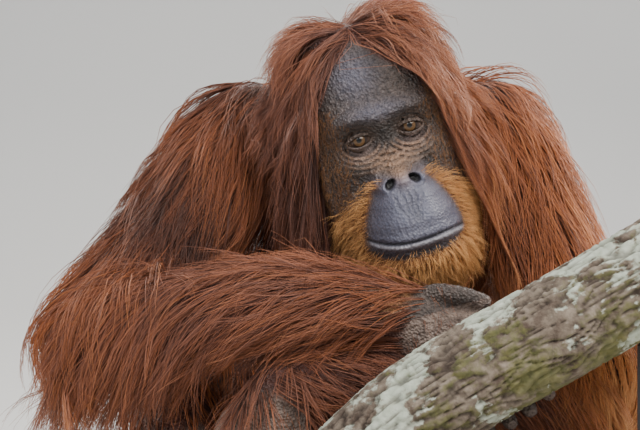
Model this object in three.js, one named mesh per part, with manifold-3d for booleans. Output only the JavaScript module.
// A female orangutan at life size, sitting with its arms folded behind a sloping branch and its chin on its
// right forearm. Millimetres, +Z up, the animal faces -Y, origin at the middle of the base's underside.
import * as THREE from "three";
import { mergeVertices } from "three/addons/utils/BufferGeometryUtils.js";
import Module from "manifold-3d";

const wasm = await Module();
wasm.setup();

// Driving sizes of the stand and the branch
const GAP = 0.3; // clearance that touching pieces keep
const BASE = { width: 780, depth: 660, thick: 20, corner: 60 };
const SEAT = BASE.thick + GAP; // height of everything that rests on the base
const ROD = { radius: 9, flange: 26, flangeThick: 6 };
const BRANCH = { radius: 50, knot: 9 };
const BRANCH_LINE = [
  [-50, -238, 102],
  [-28, -237, 124],
  [28, -236, 175],
  [93, -235, 217],
  [168, -235, 259],
  [243, -235, 303],
  [322, -237, 350],
];

// How far the coat stands off the skin, and the share of it that the solid core fills under the locks
const COAT = { head: 20, body: 22, upperArm: 19, forearm: 11, thigh: 17, shin: 10 };
const CORE_SHARE = 0.45;
const TRUNK_CAP = 0.2; // share of the trunk's length that each rounded end takes
const SINK = 9; // how deep a lock's root lies under the core's surface
const LOCK = { sides: 4, rings: 4, thick: 0.2 };

// Head: the point midway between the eyes, the turn of the head and the sizes of the face
const FACE_POINT = [5, -90, 440];
const HEAD_TURN = { nod: 6, lean: -17, turn: 4 };
const EYE = { apart: 25.5, back: 8, radius: 12, lid: 1.7, apertureWide: 10.5, apertureHigh: 6.6 };
const MOUTH = { halfWide: 45, cornerHeight: -97, middleHeight: -101, slant: 5, depth: 6 };
const FACE_GATHER = 0.5; // how much closer the head's vertices stand at the face
const FACE_BARE = { top: 88, bottom: -138, halfWide: 74, front: 150, back: 50 };

const V = (x, y, z) => new THREE.Vector3(x, y, z);
const rad = THREE.MathUtils.degToRad;
const smooth = (x, low, high) => THREE.MathUtils.smoothstep(x, low, high);

// Solids

function solid(geometry) {
  const plain = new THREE.BufferGeometry().setAttribute("position", geometry.getAttribute("position").clone());
  if (geometry.index) plain.setIndex(geometry.index.clone());
  const merged = mergeVertices(plain, 1e-3);
  const triVerts = new Uint32Array(merged.index.array);
  const made = (order) =>
    new wasm.Manifold(
      new wasm.Mesh({ numProp: 3, vertProperties: merged.attributes.position.array, triVerts: order }),
    );
  const first = made(triVerts);
  if (first.volume() > 0) return first;
  for (let i = 0; i < triVerts.length; i += 3) {
    [triVerts[i + 1], triVerts[i + 2]] = [triVerts[i + 2], triVerts[i + 1]];
  }
  return made(triVerts);
}

function geometryOf(manifold) {
  const { vertProperties, triVerts, numProp, numVert } = manifold.getMesh();
  const position = new Float32Array(numVert * 3);
  for (let i = 0; i < numVert; i++) position.set(vertProperties.subarray(i * numProp, i * numProp + 3), i * 3);
  const geometry = new THREE.BufferGeometry();
  geometry.setAttribute("position", new THREE.BufferAttribute(position, 3));
  geometry.setIndex(new THREE.BufferAttribute(triVerts, 1));
  geometry.computeVertexNormals();
  return geometry;
}

// A sphere's rings and sides with every vertex moved to surface(angle, share), share 0 to 1 from pole to pole
function shell(surface, sides, rings) {
  const geometry = new THREE.SphereGeometry(1, sides, rings);
  const { uv, position } = geometry.attributes;
  for (let i = 0; i < position.count; i++) {
    const share = THREE.MathUtils.clamp(1 - uv.getY(i), 0, 1);
    const p = surface((uv.getX(i) % 1) * 2 * Math.PI, share);
    position.setXYZ(i, p.x, p.y, p.z);
  }
  return geometry;
}

// A limb's surface: stations of {at, wide, deep} joined by a smooth curve, with rounded ends. `side` is the
// direction that `wide` is measured along.
function limbSurface(stations, side, grow = 0, cap = 0.14, bulge = 0.85) {
  const line = new THREE.CatmullRomCurve3(stations.map((s) => V(...s.at)), false, "centripetal");
  const sizes = new THREE.CatmullRomCurve3(stations.map((s) => V(s.wide, s.deep, 0)), false, "catmullrom");
  return (angle, share) => {
    const t = THREE.MathUtils.clamp((share - cap) / (1 - 2 * cap), 0, 1);
    const tangent = line.getTangent(t);
    const across = V(...side).addScaledVector(tangent, -V(...side).dot(tangent)).normalize();
    const up = V(0, 0, 0).crossVectors(tangent, across);
    const size = sizes.getPoint(t);
    let round = 1;
    let beyond = 0;
    if (share < cap || share > 1 - cap) {
      const turn = (Math.min(share, 1 - share) / cap) * (Math.PI / 2);
      round = Math.sin(turn);
      beyond = Math.sign(share - 0.5) * Math.cos(turn) * Math.min(size.x, size.y) * bulge;
      beyond += Math.sign(share - 0.5) * Math.cos(turn) * grow;
    }
    return line
      .getPoint(t)
      .addScaledVector(across, (size.x + grow) * round * Math.cos(angle))
      .addScaledVector(up, (size.y + grow) * round * Math.sin(angle))
      .addScaledVector(tangent, beyond);
  };
}

const limb = (stations, side, sides, rings, cap) => (grow) =>
  solid(shell(limbSurface(stations, side, grow, cap), sides, rings));

const widened = (stations, by) => stations.map((s) => ({ at: s.at, wide: s.wide + by, deep: s.deep + by }));

const station = (at, wide, deep = wide) => ({ at, wide, deep });

function ellipsoid(centre, radii, sides = 16, rings = 10, grow = 0) {
  const geometry = new THREE.SphereGeometry(1, sides, rings);
  geometry.scale(radii[0] + grow, radii[1] + grow, radii[2] + grow).translate(...centre);
  return geometry;
}

// The body's skin, as stations along each limb, on the animal's right (-X) and left (+X)

const TORSO = [
  station([-5, 150, 62], 128, 100),
  station([-5, 140, 115], 138, 116),
  station([-5, 122, 200], 148, 132),
  station([-5, 120, 300], 144, 128),
  station([-6, 106, 380], 138, 112),
  station([-8, 84, 432], 112, 84),
];
const NECK = [station([-6, 84, 440], 80, 66), station([2, 56, 434], 72, 64), station([8, 24, 428], 62, 60)];
const UPPER_ARM = {
  right: [
    station([-122, 56, 446], 52),
    station([-155, 12, 402], 50),
    station([-205, -50, 340], 43),
    station([-248, -102, 284], 41),
    station([-278, -136, 242], 41),
  ],
  left: [
    station([103, 56, 448], 52),
    station([128, 12, 398], 49),
    station([166, -45, 318], 42),
    station([196, -90, 254], 41),
    station([218, -120, 212], 41),
  ],
};
const FOREARM = {
  right: [
    station([-276, -140, 238], 41),
    station([-228, -148, 253], 42),
    station([-168, -151, 267], 40),
    station([-76, -151, 280], 34, 36),
    station([-18, -149, 274], 29, 32),
    station([18, -147, 266], 26, 29),
  ],
  left: [
    station([217, -118, 207], 40),
    station([160, -119, 203], 39),
    station([90, -122, 203], 35),
    station([20, -137, 204], 31),
    station([-45, -149, 207], 28),
    station([-74, -152, 207], 27),
  ],
};
const THIGH = {
  right: [station([-78, 118, 104], 78), station([-140, 50, 150], 66), station([-203, -26, 204], 50)],
  left: [station([68, 118, 104], 78), station([132, 52, 146], 66), station([196, -16, 192], 50)],
};
const SHIN = {
  right: [
    station([-204, -36, 212], 47),
    station([-196, -78, 158], 42),
    station([-178, -130, 100], 34),
    station([-166, -168, 60], 29, 31),
  ],
  left: [
    station([196, -26, 200], 47),
    station([190, -70, 152], 42),
    station([174, -126, 98], 34),
    station([162, -166, 60], 29, 31),
  ],
};
const SIDES = ["right", "left"];
const sign = { right: -1, left: 1 };

// Hands. The right one hooks over the back of the branch, the left one hangs from a bent wrist.

const branchCurve = new THREE.CatmullRomCurve3(BRANCH_LINE.map((p) => V(...p)), false, "centripetal");

// A point at `turn` degrees round the branch, 0 at its back and 90 at its top, `off` outside its bark
function roundBranch(share, turn, off) {
  const along = branchCurve.getTangent(share);
  const back = V(0, 1, 0).addScaledVector(along, -along.y).normalize();
  const up = V(0, 0, 0).crossVectors(back, along).multiplyScalar(-1);
  return branchCurve
    .getPoint(share)
    .addScaledVector(back, (BRANCH.radius + off) * Math.cos(rad(turn)))
    .addScaledVector(up, (BRANCH.radius + off) * Math.sin(rad(turn)));
}

const FINGER = { radius: 9.5, spacing: 0.045, firstShare: 0.452, knuckleTurn: 14, tipTurn: -60 };
const HAND_LEFT = { x: -104, y: -163, knuckles: 132, fingerSpacing: 19 };

function rightFinger(i) {
  const share = FINGER.firstShare + i * FINGER.spacing;
  const tip = FINGER.tipTurn - [4, 14, 12, 0][i];
  const turns = [FINGER.knuckleTurn, -8, -30, -50, tip];
  const radii = [1, 0.98, 0.93, 0.88, 0.72];
  return turns.map((turn, k) => {
    const r = FINGER.radius * radii[k];
    return station(roundBranch(share, turn, r + 2).toArray(), r);
  });
}

function leftFinger(i) {
  const x = HAND_LEFT.x + (i - 1.5) * HAND_LEFT.fingerSpacing;
  const spread = (i - 1.5) * 3;
  const drop = [6, 0, 2, 12][i];
  const r = FINGER.radius;
  return [
    station([x, HAND_LEFT.y, HAND_LEFT.knuckles + 4], r),
    station([x + spread * 0.4, HAND_LEFT.y - 5, 104 + drop], r),
    station([x + spread * 0.8, HAND_LEFT.y + 2, 74 + drop], r * 0.95),
    station([x + spread, HAND_LEFT.y + 22, 56 + drop], r * 0.88),
    station([x + spread, HAND_LEFT.y + 44, 60 + drop], r * 0.74),
  ];
}

const knuckleMiddle = roundBranch(FINGER.firstShare + 1.5 * FINGER.spacing, FINGER.knuckleTurn, 15).toArray();
const HAND = {
  right: [
    station([8, -148, 269], 28, 26),
    station([32, -152, 260], 31, 21),
    station([56, -160, 243], 36, 17),
    station(knuckleMiddle, 38, 14),
  ],
  left: [
    station([-94, -155, 204], 27, 25),
    station([-99, -159, 184], 33, 22),
    station([-103, -162, 158], 39, 17),
    station([HAND_LEFT.x, HAND_LEFT.y, HAND_LEFT.knuckles], 41, 14),
  ],
};
const HAND_SIDE = { right: [0.5, 0, 0.87], left: [1, 0, 0.35] };
const THUMB = {
  right: [
    station([30, -150, 280], 10),
    station([52, -158, 288], 9.5),
    station([78, -166, 286], 8.5),
    station([98, -172, 280], 7.5),
  ],
  left: [
    station([-122, -152, 188], 9),
    station([-144, -150, 168], 9.5),
    station([-153, -152, 146], 8.5),
    station([-154, -156, 130], 7),
  ],
};

// Feet: flat on the base, toes ahead and outward, the big toe set off to the inside

const footPoint = (side, out, ahead, height) => {
  const s = sign[side];
  const turn = rad(24);
  const x = s * (160 + out * Math.cos(turn) + ahead * Math.sin(turn));
  return [x, -150 - ahead * Math.cos(turn) + out * Math.sin(turn), SEAT + height];
};
const foot = (side) => [
  station(footPoint(side, 0, -14, 27), 26, 26),
  station(footPoint(side, 0, 30, 27), 30, 24),
  station(footPoint(side, 1, 82, 17), 39, 15),
];
const toe = (side, i) => {
  const out = (i - 1.5) * 18;
  const long = [60, 66, 62, 50][i];
  return [
    station(footPoint(side, out, 80, 12), 10),
    station(footPoint(side, out * 1.08, 80 + long * 0.45, 15), 9.5),
    station(footPoint(side, out * 1.12, 80 + long * 0.8, 12), 9),
    station(footPoint(side, out * 1.12, 80 + long, 6.5), 7.5),
  ];
};
const bigToe = (side) => [
  station(footPoint(side, -18, 18, 14), 12),
  station(footPoint(side, -40, 40, 12), 11),
  station(footPoint(side, -54, 62, 8.5), 9),
];

// Head. Its surface is stacked level outlines from crown to chin, then pushed out or in by named features.

const HEAD_LEVELS = [
  // height, front, back, half width
  [108, 66, 66, 0],
  [103, 30, 104, 42],
  [88, 9, 126, 57],
  [62, -1, 142, 67],
  [32, -6, 148, 71],
  [10, -8, 146, 73],
  [-12, -4, 142, 75],
  [-38, -5, 134, 76],
  [-66, -4, 122, 74],
  [-92, 1, 106, 69],
  [-116, 4, 88, 61],
  [-138, 8, 66, 49],
  [-151, 16, 46, 32],
  [-156, 28, 28, 0],
];
const levelCurve = new THREE.CatmullRomCurve3(HEAD_LEVELS.map(([z, f, b]) => V(f, b, z)), false, "catmullrom");
const widthCurve = new THREE.CatmullRomCurve3(HEAD_LEVELS.map((s) => V(s[3], 0, 0)), false, "catmullrom");

const MUZZLE_LEVELS = [
  // height, how far it stands out, half width
  [-18, 0, 22],
  [-32, 14, 26],
  [-46, 33, 31],
  [-64, 47, 39],
  [-84, 57, 47],
  [-102, 59, 53],
  [-120, 53, 55],
  [-138, 40, 49],
  [-152, 18, 37],
];

function between(rows, height) {
  const last = rows.length - 1;
  if (height >= rows[0][0]) return rows[0];
  if (height <= rows[last][0]) return rows[last];
  const i = rows.findIndex((row) => row[0] < height);
  const share = (rows[i - 1][0] - height) / (rows[i - 1][0] - rows[i][0]);
  const eased = share * share * (3 - 2 * share);
  return rows[i].map((value, k) => rows[i - 1][k] + (value - rows[i - 1][k]) * (0.5 * share + 0.5 * eased));
}

const bump = (x, z, centre, size) => {
  const dx = (x - centre[0]) / size[0];
  const dz = (z - centre[1]) / size[1];
  return Math.exp(-(dx * dx + dz * dz));
};

// How far the face stands forward of its plain outline at (x, z), in millimetres
function faceForward(x, z) {
  const ax = Math.abs(x);
  const [, out, wide] = between(MUZZLE_LEVELS, z);
  let forward = z < MUZZLE_LEVELS[0][0] ? out * Math.exp(-Math.pow(ax / wide, 3.4) * 1.1) : 0;
  forward += 12 * bump(ax, z, [26, 23], [23, 9]); // brow ridge over each eye
  forward += 4 * bump(x, z, [0, 20], [16, 12]); // between the brows
  forward -= 13 * bump(ax, z, [26, 1], [17, 13]); // eye socket
  forward += 5 * bump(ax, z, [34, -24], [20, 14]); // cheek under the eye
  forward += 4 * bump(x, z, [0, -20], [10, 16]); // bridge of the nose
  forward += 8 * bump(x, z, [0, -38], [10, 8]); // tip of the nose
  forward += 6 * bump(ax, z, [18, -43], [7, 8]); // wing of each nostril
  return forward;
}

const poleFade = (share) => smooth(Math.min(share, 1 - share), 0, 0.09);

function headSurface(turn, share, grow = 0) {
  const angle = turn - FACE_GATHER * Math.cos(turn); // closer together at the face
  const level = levelCurve.getPoint(share);
  const sideways = grow * Math.min(1, 4 * Math.sin(Math.PI * share));
  const wide = widthCurve.getPoint(share).x + sideways;
  const front = level.x - sideways;
  const back = level.y + sideways;
  const z = level.z + (share < 0.5 ? grow : -grow) * Math.abs(Math.cos(Math.PI * share));
  const middle = front + (back - front) * 0.46;
  const c = Math.cos(angle);
  const s = Math.sin(angle);
  const x = wide * Math.sign(c) * Math.pow(Math.abs(c), 0.86);
  const y = s < 0 ? middle + (middle - front) * -Math.pow(-s, 0.86) : middle + (back - middle) * Math.pow(s, 0.92);
  const facing = smooth(-s, 0.05, 0.45) * poleFade(share);
  return V(x, y - faceForward(x, z) * facing, z);
}

const headPlace = new THREE.Object3D();
headPlace.position.set(...FACE_POINT);
headPlace.rotation.set(rad(HEAD_TURN.nod), rad(HEAD_TURN.lean), rad(HEAD_TURN.turn), "ZYX");
headPlace.updateMatrixWorld(true);
const inHead = (geometry) => geometry.applyMatrix4(headPlace.matrixWorld);
const headSolid = (geometry) => solid(inHead(geometry));

const eyeCentre = (side) => [sign[side] * EYE.apart, EYE.back, 0];

// Front of the face at (x, z), found on the head's own outline
function faceFront(x, z) {
  const { share, level } = headLevel(z);
  const wide = widthCurve.getPoint(share).x;
  const middle = level.x + (level.y - level.x) * 0.46;
  const c = Math.min(1, Math.pow(Math.abs(x) / wide, 1 / 0.86));
  const s = Math.sqrt(1 - c * c);
  const facing = smooth(s, 0.05, 0.45) * poleFade(share);
  return middle - (middle - level.x) * Math.pow(s, 0.86) - faceForward(x, z) * facing;
}

function headLevel(z) {
  let low = 0;
  let high = 1;
  for (let i = 0; i < 24; i++) {
    const middle = (low + high) / 2;
    if (levelCurve.getPoint(middle).z > z) low = middle;
    else high = middle;
  }
  return { share: low, level: levelCurve.getPoint(low) };
}

// Stations along the mouth from corner to corner, `shift` above it and `sink` under the skin
function mouthLine(halfWide, shift, sink, radius, count = 11) {
  return Array.from({ length: count }, (_, i) => {
    const x = halfWide * Math.sin(((i / (count - 1)) * 2 - 1) * (Math.PI / 2) * 0.98);
    const z = mouthHeight(x) + shift;
    const ends = 1 - 0.55 * Math.pow(Math.abs(x) / halfWide, 4);
    return station([x, faceFront(x, z) + sink, z], radius[0] * ends, radius[1] * ends);
  });
}

const mouthHeight = (x) => {
  const share = Math.pow(Math.abs(x) / MOUTH.halfWide, 2);
  const rise = (MOUTH.cornerHeight - MOUTH.middleHeight) * share;
  return MOUTH.middleHeight + rise - MOUTH.slant * (x / MOUTH.halfWide) * Math.min(share, 1);
};

function headCore(grow) {
  let head = headSolid(shell((a, s) => headSurface(a, s, grow), 26, 28));
  if (grow) return head;
  const lip = (shift, radius, sink) =>
    headSolid(
      shell(limbSurface(mouthLine(MOUTH.halfWide, shift, sink, radius), [0, 0, 1]), 5, 10),
    );
  head = head.add(lip(5, [4.2, 5], 2.2)).add(lip(-6, [5, 6], 2.2));
  for (const side of SIDES) {
    const [x, y, z] = eyeCentre(side);
    const lidRadius = EYE.radius + EYE.lid + GAP;
    head = head.add(headSolid(ellipsoid([x, y, z], [lidRadius + 1, lidRadius, lidRadius], 12, 8)));
    const bag = [0, 1, 2, 3, 4].map((i) => {
      const turn = rad(200 + i * 35);
      return station([x + 16 * Math.cos(turn), y - 7, z + 12 * Math.sin(turn) - 2], 2.6);
    });
    head = head.add(headSolid(shell(limbSurface(bag, [0, 1, 0]), 5, 6)));
  }
  head = head.subtract(
    headSolid(shell(limbSurface(mouthLine(MOUTH.halfWide + 3, 0, 1.5, [1.3, MOUTH.depth]), [0, 0, 1]), 4, 12)),
  );
  for (const side of SIDES) {
    const s = sign[side];
    const [x, y, z] = eyeCentre(side);
    head = head.subtract(headSolid(ellipsoid([x, y, z], [EYE.radius, EYE.radius, EYE.radius], 10, 8, GAP)));
    const opening = ellipsoid([0, 0, 0], [EYE.apertureWide, 9, EYE.apertureHigh], 14, 6);
    opening.rotateY(rad(-8 * s)).translate(x, y - 12, z);
    head = head.subtract(headSolid(opening));
    const nostril = ellipsoid([0, 0, 0], [6, 12, 4.6], 8, 6);
    nostril.rotateY(rad(24 * s)).translate(s * 9.5, faceFront(s * 9.5, -41) + 1, -43);
    head = head.subtract(headSolid(nostril));
  }
  return head;
}

// The coat's surface round the head, thinner at the crown and under the chin
function headCoat(angle, share, off, grow = 0) {
  const p = headSurface(angle + FACE_GATHER * Math.cos(angle), share, 0);
  const middle = V(0, 66, Math.min(40, Math.max(p.z, -60)));
  const out = p.clone().sub(middle).normalize();
  const thin = (0.4 + 0.6 * smooth(p.z, -130, -70)) * (1 - 0.4 * smooth(p.z, 60, 105));
  return p.addScaledVector(out, off * thin + grow);
}

// The head's coat before its locks: a cap over crown, sides and nape that leaves the face free
function headCap(grow) {
  const cap = shell((angle, share) => headCoat(angle, share, COAT.head * CORE_SHARE, grow), 20, 13);
  const { top, bottom, halfWide, front, back } = FACE_BARE;
  const faceWindow = shell((angle, share) => {
    const turn = share * Math.PI;
    const reach = Math.pow(Math.sin(turn), 0.8) * (share > 0 && share < 1 ? 1 : 0);
    const deep = Math.sin(angle) > 0 ? back : front;
    const height = (top + bottom) / 2 + ((top - bottom) / 2) * Math.cos(turn);
    return V(halfWide * reach * Math.cos(angle), -6 + deep * reach * Math.sin(angle), height);
  }, 16, 10);
  let made = headSolid(cap).subtract(headSolid(faceWindow));
  for (const side of SIDES) {
    const s = sign[side];
    const window = ellipsoid([0, 0, 0], [34, 17, 24], 12, 8);
    made = made.subtract(headSolid(window.translate(s * 98, 68, 2)));
  }
  return made;
}

// Ears: a flat cup, low on the side of the head

const ear = (side) => (grow) => {
  const s = sign[side];
  const cup = ellipsoid([0, 0, 0], [8, 14, 20], 10, 8, grow);
  cup.rotateZ(rad(-28 * s)).translate(s * 80, 74, 2);
  const made = headSolid(cup);
  if (grow) return made;
  const hollow = ellipsoid([0, 0, 0], [7, 8.5, 13.5], 8, 6);
  hollow.rotateZ(rad(-28 * s)).translate(s * 87.5, 69, 3);
  return made.subtract(headSolid(hollow));
};

const eyeball = (side) => (grow) => {
  const [x, y, z] = eyeCentre(side);
  const ball = ellipsoid([x, y, z], [EYE.radius, EYE.radius, EYE.radius], 10, 8, grow);
  return headSolid(ball);
};

// Locks of the long coat. A field gives the point at (angle, share) that stands `off` the skin.

const limbField = (stations, side, cap) => (angle, share, off) => limbSurface(stations, side, off, cap)(angle, share);

const headField = (angle, share, off) => headCoat(angle, share, off).applyMatrix4(headPlace.matrixWorld);

let seed = 41;
const draw = () => {
  seed = (seed * 16807) % 2147483647;
  return seed / 2147483647;
};
const vary = (size, by) => size * (1 + by * (2 * draw() - 1));

// Each lock starts at [angle, share] `from`, follows the lie to `to` and lifts from its sunk root to `tip`
// millimetres off the skin. Its free end hangs `drop` and leans `push`.
function lockShape({ field, from, to, root, tip, drop, push, wide, twist, bend }) {
  const ease = (t) => smooth(t, -0.15, 0.55);
  const along = (t) => {
    const angle = from[0] + (to[0] - from[0]) * t + bend * Math.sin(Math.PI * t);
    const share = from[1] + (to[1] - from[1]) * t;
    const foot = field(angle, share, 0);
    const up = field(angle, share, 10).sub(foot).normalize();
    const hang = drop * t * t * (0.2 + 0.8 * smooth(-up.z, -1, 0.3));
    foot.addScaledVector(up, root + (tip - root) * ease(t)).addScaledVector(push, t * t);
    foot.z -= hang;
    return { at: foot, up };
  };
  return (grow) => {
    const surface = (angle, share) => {
      const { at, up } = along(share);
      const ahead = along(Math.min(share + 0.04, 1)).at.sub(along(Math.max(share - 0.04, 0)).at).normalize();
      const face = up.clone().addScaledVector(ahead, -up.dot(ahead)).normalize();
      const edge = V(0, 0, 0).crossVectors(ahead, face);
      const size = Math.pow(Math.sin(Math.PI * Math.pow(share, 0.6)), 0.8) || 0;
      const open = share > 0 && share < 1 ? 1 : 0;
      const half = (wide * size + grow) * open;
      const deep = (wide * LOCK.thick * size + grow) * open;
      const c = Math.cos(angle);
      const s = Math.sin(angle);
      const turned = Math.sin(twist);
      const upright = Math.cos(twist);
      at.addScaledVector(edge, half * c * upright - deep * s * turned);
      at.addScaledVector(face, half * c * turned + deep * s * upright);
      return at.addScaledVector(ahead, open ? 0 : share < 0.5 ? -grow : grow);
    };
    return solid(shell(surface, LOCK.sides, LOCK.rings));
  };
}

// Rows of locks: `starts` are the shares where rows begin, `angles` the degrees that each row covers
function lockRows({ field, depth, starts, reach, angles, count, wide, drop, ...rest }) {
  const { push = [0, 0, 0], over = 2, sink = SINK } = rest;
  const locks = [];
  starts.forEach((start, row) => {
    for (let i = 0; i < count; i++) {
      const place = (i + 0.5 + (row % 2 ? 0.25 : -0.25) + 0.25 * (draw() - 0.5)) / count;
      const angle = rad(angles[0] + (angles[1] - angles[0]) * place);
      const ends = start + vary(reach, 0.18);
      locks.push(
        lockShape({
          field,
          from: [angle, start + 0.03 * (draw() - 0.5)],
          to: [angle + 0.16 * (draw() - 0.5), ends],
          root: depth * CORE_SHARE - sink,
          tip: vary(depth + over, 0.15),
          drop: vary(drop, 0.25),
          push: V(...push).multiplyScalar(vary(1, 0.3)),
          wide: vary(wide, 0.18),
          twist: 0.3 * (draw() - 0.5),
          bend: 0.24 * (draw() - 0.5),
        }),
      );
    }
  });
  return locks;
}

// Branch, base and rods

function branch(grow) {
  const stations = BRANCH_LINE.map((at, i) => {
    const swell = [0, 1, -1, 1, 0, 1, 2][i];
    return station(at, BRANCH.radius + swell, BRANCH.radius + swell);
  });
  const rings = 16;
  const end = 0.001; // share of the length that each cut end takes
  const line = limbSurface(stations, [0, 1, 0], grow, end, 0.02);
  const bark = (angle, ringShare) => {
    const ring = ringShare * rings;
    const inner = (Math.min(Math.max(ring, 1), rings - 1) - 1) / (rings - 2);
    const share = ring < 1 ? ring * end : ring > rings - 1 ? 1 - (rings - ring) * end : end + inner * (1 - 2 * end);
    const p = line(angle, share);
    if (ring < 0.5 || ring > rings - 0.5) return p;
    const centre = branchCurve.getPoint(inner);
    const wave = 1.1 * Math.sin(angle * 3 + share * 9) + 0.8 * Math.sin(angle * 5 - share * 17);
    const knot = BRANCH.knot * Math.exp(-(((share - 0.80) / 0.05) ** 2) - ((angle - 4.0) / 0.45) ** 2);
    return p.add(p.clone().sub(centre).normalize().multiplyScalar(wave + knot));
  };
  return solid(shell(bark, 15, rings));
}

function plate() {
  const w = BASE.width / 2;
  const d = BASE.depth / 2;
  const c = BASE.corner;
  const outline = new THREE.Shape();
  outline.moveTo(-w + c, -d);
  outline.lineTo(w - c, -d).absarc(w - c, -d + c, c, -Math.PI / 2, 0, false);
  outline.lineTo(w, d - c).absarc(w - c, d - c, c, 0, Math.PI / 2, false);
  outline.lineTo(-w + c, d).absarc(-w + c, d - c, c, Math.PI / 2, Math.PI, false);
  outline.lineTo(-w, -d + c).absarc(-w + c, -d + c, c, Math.PI, Math.PI * 1.5, false);
  return solid(new THREE.ExtrudeGeometry(outline, { depth: BASE.thick, bevelEnabled: false, curveSegments: 4 }));
}

function rod(share) {
  const at = branchCurve.getPoint(share);
  const height = at.z - SEAT;
  const post = new THREE.CylinderGeometry(ROD.radius, ROD.radius, height, 16).rotateX(Math.PI / 2);
  const flange = new THREE.CylinderGeometry(ROD.flange, ROD.flange, ROD.flangeThick, 20).rotateX(Math.PI / 2);
  return solid(post.translate(at.x, at.y, SEAT + height / 2)).add(
    solid(flange.translate(at.x, at.y, SEAT + ROD.flangeThick / 2)),
  );
}

// Nodes, in the order that they take up space: each one is cut clear of those before it

const COLOURS = {
  fur: 0x8a4a26,
  skin: 0x3b3230,
  face: 0x4a4240,
  eye: 0x3a2410,
  bark: 0x6f6a58,
  board: 0x3a322c,
  steel: 0x2c2c2e,
};
const nodes = [];
const addNode = (name, material, core, locks = []) => nodes.push({ name, material, core, locks });
const coated = (stations, depth, side, sides, rings, cap) =>
  limb(widened(stations, depth * CORE_SHARE), side, sides, rings, cap);

addNode("stand_base", "board", () => plate());
addNode("branch", "bark", branch);
for (const side of SIDES) addNode(`eye_${side}`, "eye", eyeball(side));
for (const side of SIDES) addNode(`ear_${side}`, "skin", ear(side));

// The head's locks fall from the crown to both sides of the face and down the nape, longest on its right side
const headRows = (rows) => lockRows({ field: headField, depth: COAT.head, push: [0, 0, 0], ...rows });
const headLocks = [
  ...headRows({ starts: [0.07], reach: 0.26, angles: [-30, 210], count: 5, wide: 34, drop: 2, over: 0 }),
  ...headRows({ starts: [0.3], reach: 0.3, angles: [10, 170], count: 4, wide: 34, drop: 8 }),
  ...headRows({
    starts: [0.17, 0.3], reach: 0.34, angles: [172, 212], count: 3, wide: 25, drop: 45, push: [-34, 0, 0],
  }),
  ...headRows({
    starts: [0.22, 0.38], reach: 0.28, angles: [-36, 8], count: 2, wide: 25, drop: 14, push: [8, 0, 0],
  }),
  ...headRows({ starts: [0.8], reach: 0.12, angles: [204, 336], count: 5, wide: 18, drop: 8, over: 4, sink: 16 }),
];
addNode("head", "face", (grow) => headCore(grow).add(headCap(grow)), headLocks);
for (const side of SIDES) {
  const finger = side === "right" ? rightFinger : leftFinger;
  addNode(`hand_${side}`, "skin", limb(HAND[side], HAND_SIDE[side], 12, 9));
  for (let i = 0; i < 4; i++) {
    addNode(`finger_${side}_${i + 1}`, "skin", limb(finger(i), side === "right" ? [1, 0, 0.5] : [1, 0, 0], 6, 7));
  }
  addNode(`thumb_${side}`, "skin", limb(THUMB[side], [0, 1, 0], 6, 7));
}

// Hair on the forearm runs back to the elbow and hangs from it, hair on the upper arm runs down to the elbow
for (const side of SIDES) {
  const long = side === "right" ? 1 : 0.5;
  const rows = { field: limbField(FOREARM[side], [0, 1, 0]), depth: COAT.forearm, over: 6 };
  const around = { angles: [0, 360], count: side === "right" ? 4 : 3 };
  const locks = [
    ...lockRows({ ...rows, ...around, wide: 26, starts: [0.84], reach: -0.36, drop: 16 * long }),
    ...lockRows({ ...rows, ...around, wide: 26, starts: [0.52], reach: -0.38, drop: 45 * long, push: [-22 * long, 0, 0] }),
  ];
  if (side === "right") {
    const low = { starts: [0.3], reach: -0.22, angles: [150, 330], count: 3, drop: 85, push: [-45, 0, 0] };
    locks.push(...lockRows({ ...rows, ...low, wide: 21 }));
  }
  addNode(`forearm_${side}`, "fur", coated(FOREARM[side], COAT.forearm, [0, 1, 0], 14, 12), locks);
}
for (const side of SIDES) {
  const out = sign[side];
  const rows = { field: limbField(UPPER_ARM[side], [0, 1, 0]), depth: COAT.upperArm, wide: 34, over: 4 };
  const locks = [
    ...lockRows({ ...rows, starts: [0.14, 0.42], reach: 0.36, angles: [0, 360], count: 3, drop: 12, push: [4 * out, 0, 0] }),
    ...lockRows({ ...rows, starts: [0.66], reach: 0.28, angles: [0, 360], count: 3, drop: 24, push: [8 * out, 0, 0] }),
  ];
  addNode(`upper_arm_${side}`, "fur", coated(UPPER_ARM[side], COAT.upperArm, [0, 1, 0], 14, 10), locks);
}
for (const side of SIDES) {
  addNode(`foot_${side}`, "skin", limb(foot(side), [1, 0, 0], 12, 8));
  for (let i = 0; i < 4; i++) addNode(`toe_${side}_${i + 1}`, "skin", limb(toe(side, i), [1, 0, 0], 6, 6));
  addNode(`big_toe_${side}`, "skin", limb(bigToe(side), [0, 1, 0], 6, 6));
}
for (const side of SIDES) {
  const rows = { field: limbField(SHIN[side], [1, 0, 0]), depth: COAT.shin, wide: 20, over: 5, drop: 10 };
  const locks = lockRows({ ...rows, starts: [0.3, 0.55], reach: 0.26, angles: [150, 390], count: 2 });
  addNode(`shin_${side}`, "fur", coated(SHIN[side], COAT.shin, [1, 0, 0], 14, 8), locks);
}
for (const side of SIDES) {
  const rows = { field: limbField(THIGH[side], [0, 0, 1]), depth: COAT.thigh, wide: 34, drop: 10 };
  const locks = lockRows({ ...rows, starts: [0.3, 0.56], reach: 0.3, angles: [0, 360], count: 2 });
  addNode(`thigh_${side}`, "fur", coated(THIGH[side], COAT.thigh, [0, 0, 1], 14, 8), locks);
}

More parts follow.
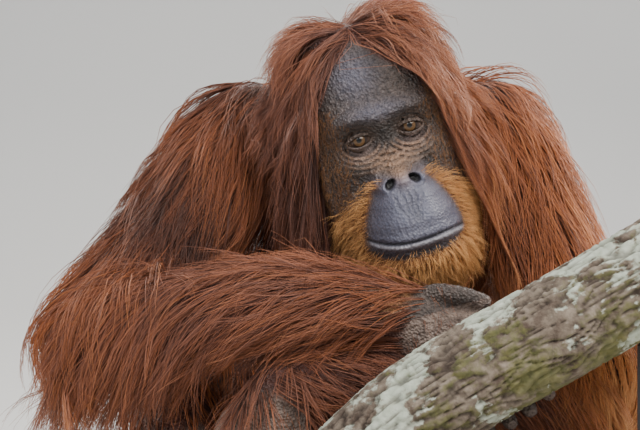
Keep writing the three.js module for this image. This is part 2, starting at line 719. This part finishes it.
// The back's locks run down it from the shoulders in overlapping rows
const trunk = coated(TORSO, COAT.body, [1, 0, 0], 20, 12, TRUNK_CAP);
const neck = coated(NECK, COAT.body, [1, 0, 0], 14, 6);
const backRows = { field: limbField(TORSO, [1, 0, 0], TRUNK_CAP), depth: COAT.body, over: 3, drop: 8 };
const backLocks = [
  ...lockRows({ ...backRows, starts: [0.86, 0.64, 0.42], reach: -0.28, angles: [-5, 185], count: 3, wide: 56 }),
];
addNode("torso", "fur", (grow) => trunk(grow).add(neck(grow)), backLocks);
addNode("stand_rod_short", "steel", () => rod(0.17));
addNode("stand_rod_long", "steel", () => rod(0.84));

const largest = (manifold) => manifold.decompose().reduce((a, b) => (b.volume() > a.volume() ? b : a));

const overlap = (a, b) => {
  const p = a.boundingBox();
  const q = b.boundingBox();
  return [0, 1, 2].every((k) => p.min[k] < q.max[k] && q.min[k] < p.max[k]);
};
const clearOf = (made, others) => {
  for (const other of others) if (overlap(made, other)) made = made.subtract(other);
  return made;
};
const fused = (pieces) => pieces.reduce((a, b) => a.add(b));

// Everything but the base stays one gap above it
const aboveBase = solid(new THREE.BoxGeometry(3000, 3000, 3000).translate(0, 0, 1500 + SEAT));
const grown = nodes.map(({ name, core }) => (name === "stand_base" ? null : core(GAP)));
const earlierLocks = [];

export const orangutan = new THREE.Group();
nodes.forEach(({ name, material, core, locks }, i) => {
  let made = core(0);
  if (name !== "stand_base") made = clearOf(made.intersect(aboveBase), grown.slice(1, i));
  if (locks.length) {
    const others = grown.filter((other, k) => k > 0 && k !== i);
    const coat = fused(locks.map((shape) => shape(0))).intersect(aboveBase);
    made = made.add(clearOf(coat, [...others, ...earlierLocks]));
    earlierLocks.push(fused(locks.map((shape) => shape(GAP * 1.2))));
  }
  made = largest(made);
  const mesh = new THREE.Mesh(
    geometryOf(made),
    new THREE.MeshStandardMaterial({ color: COLOURS[material], roughness: 0.8, metalness: 0 }),
  );
  mesh.name = name;
  orangutan.add(mesh);
});

export default orangutan;
